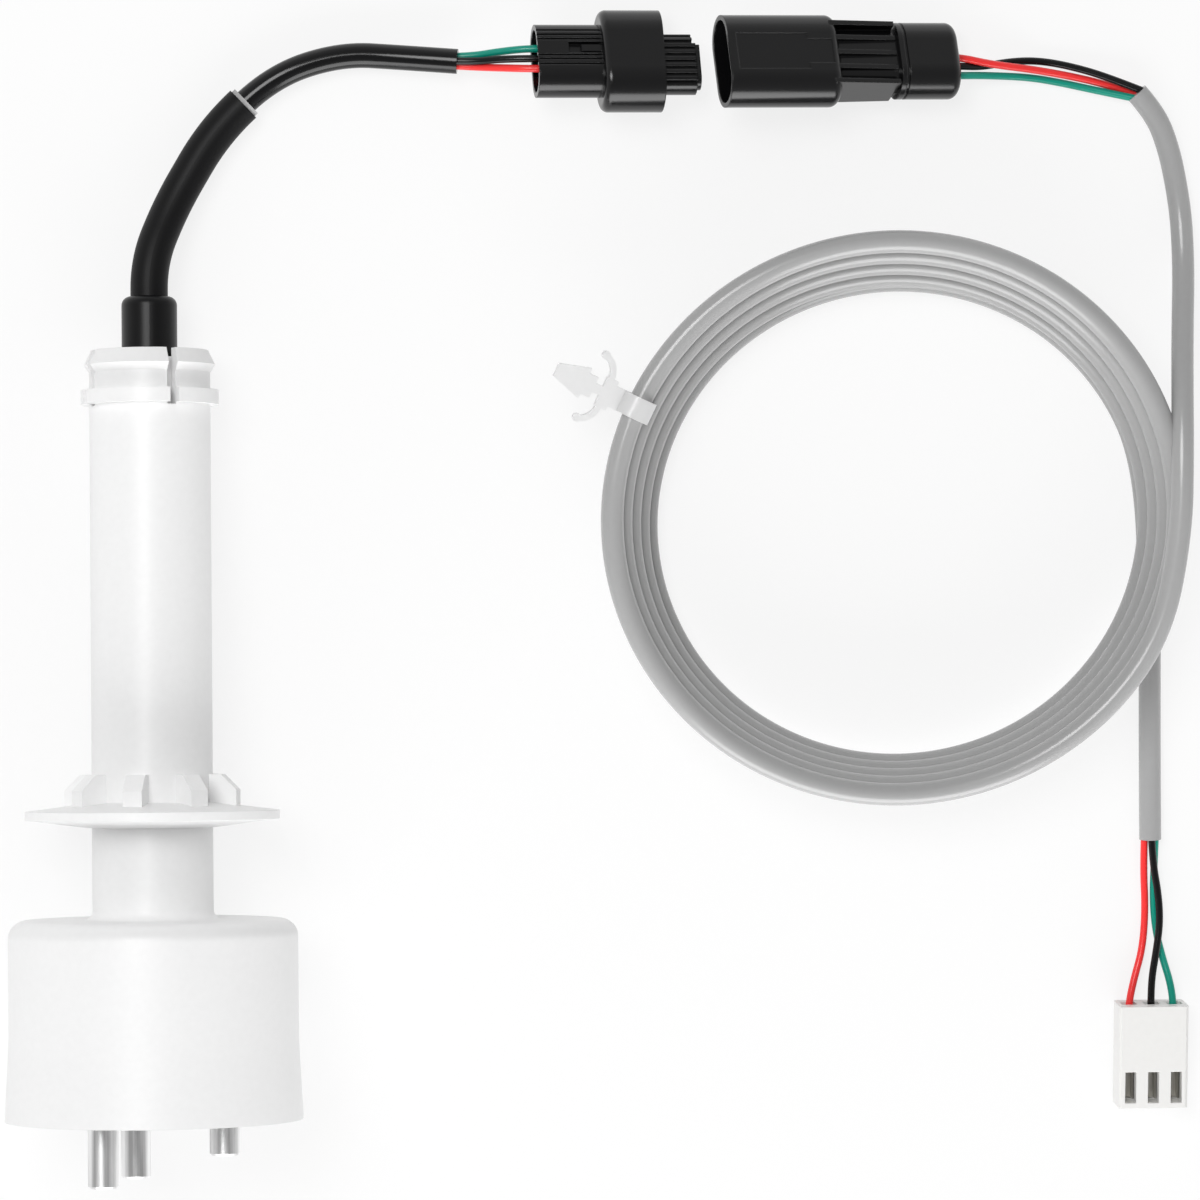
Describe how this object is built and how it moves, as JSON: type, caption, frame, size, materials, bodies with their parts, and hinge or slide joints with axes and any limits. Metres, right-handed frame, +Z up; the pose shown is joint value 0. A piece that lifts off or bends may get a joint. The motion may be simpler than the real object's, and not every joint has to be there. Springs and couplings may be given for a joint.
{
  "type": "three-electrode water level probe",
  "caption": "White three-electrode water level probe with its black lead, a pair of black connectors and a coiled grey extension cable that ends in a white crimp housing.",
  "frame": {"origin": "on the table, under the middle of the probe's own box", "axes": "+Y along the probe from the bell to the collar, its longest side; +Z up from the table"},
  "size_m": [0.2015, 0.1944, 0.0522],
  "materials": {
    "white_plastic": "glossy",
    "carrier_plastic": "satin",
    "stainless": "satin",
    "tinned_brass": "satin",
    "seal_rubber": "matte",
    "boot_rubber": "satin",
    "sleeve_black": "satin",
    "lead_black": "glossy",
    "liner_grey": "matte",
    "wire_red": "satin",
    "wire_black": "satin",
    "wire_green": "satin",
    "connector_black": "satin",
    "cable_grey": "satin",
    "header_white": "satin",
    "clip_nylon": "satin"
  },
  "bodies": {
    "root": {"cable_clip": "clip_nylon", "cable_coil": "cable_grey", "cable_run": "cable_grey", "cable_tail": "cable_grey", "carrier_seal": "seal_rubber", "clamp_nut_back": "stainless", "clamp_nut_front": "stainless", "clamp_nut_short": "stainless", "electrode_carrier": "carrier_plastic", "electrode_long_back": "stainless", "electrode_long_front": "stainless", "electrode_seal_back": "seal_rubber", "electrode_seal_front": "seal_rubber", "electrode_seal_short": "seal_rubber", "electrode_short": "stainless", "header_contact_black": "tinned_brass", "header_contact_green": "tinned_brass", "header_contact_red": "tinned_brass", "header_housing": "header_white", "header_wire_black": "wire_black", "header_wire_green": "wire_green", "header_wire_red": "wire_red", "inner_wire_black": "wire_black", "inner_wire_green": "wire_green", "inner_wire_red": "wire_red", "lead_boot": "boot_rubber", "lead_cable": "lead_black", "lead_wire_black": "wire_black", "lead_wire_green": "wire_green", "lead_wire_red": "wire_red", "outer_sleeve": "sleeve_black", "pin_contact_black": "tinned_brass", "pin_contact_green": "tinned_brass", "pin_contact_red": "tinned_brass", "plug_housing": "connector_black", "plug_rear_cap": "connector_black", "plug_retainer": "connector_black", "plug_wire_black": "wire_black", "plug_wire_green": "wire_green", "plug_wire_red": "wire_red", "plug_wire_seal": "seal_rubber", "probe_housing": "white_plastic", "receptacle_core": "connector_black", "receptacle_housing": "connector_black", "receptacle_ring_seal": "seal_rubber", "receptacle_wire_seal": "seal_rubber", "ring_terminal_black": "tinned_brass", "ring_terminal_green": "tinned_brass", "ring_terminal_red": "tinned_brass", "sleeve_liner": "liner_grey", "socket_contact_black": "tinned_brass", "socket_contact_green": "tinned_brass", "socket_contact_red": "tinned_brass", "stem_bush": "white_plastic", "terminal_nut_back": "stainless", "terminal_nut_front": "stainless", "terminal_nut_short": "stainless"}
  },
  "joints": []
}
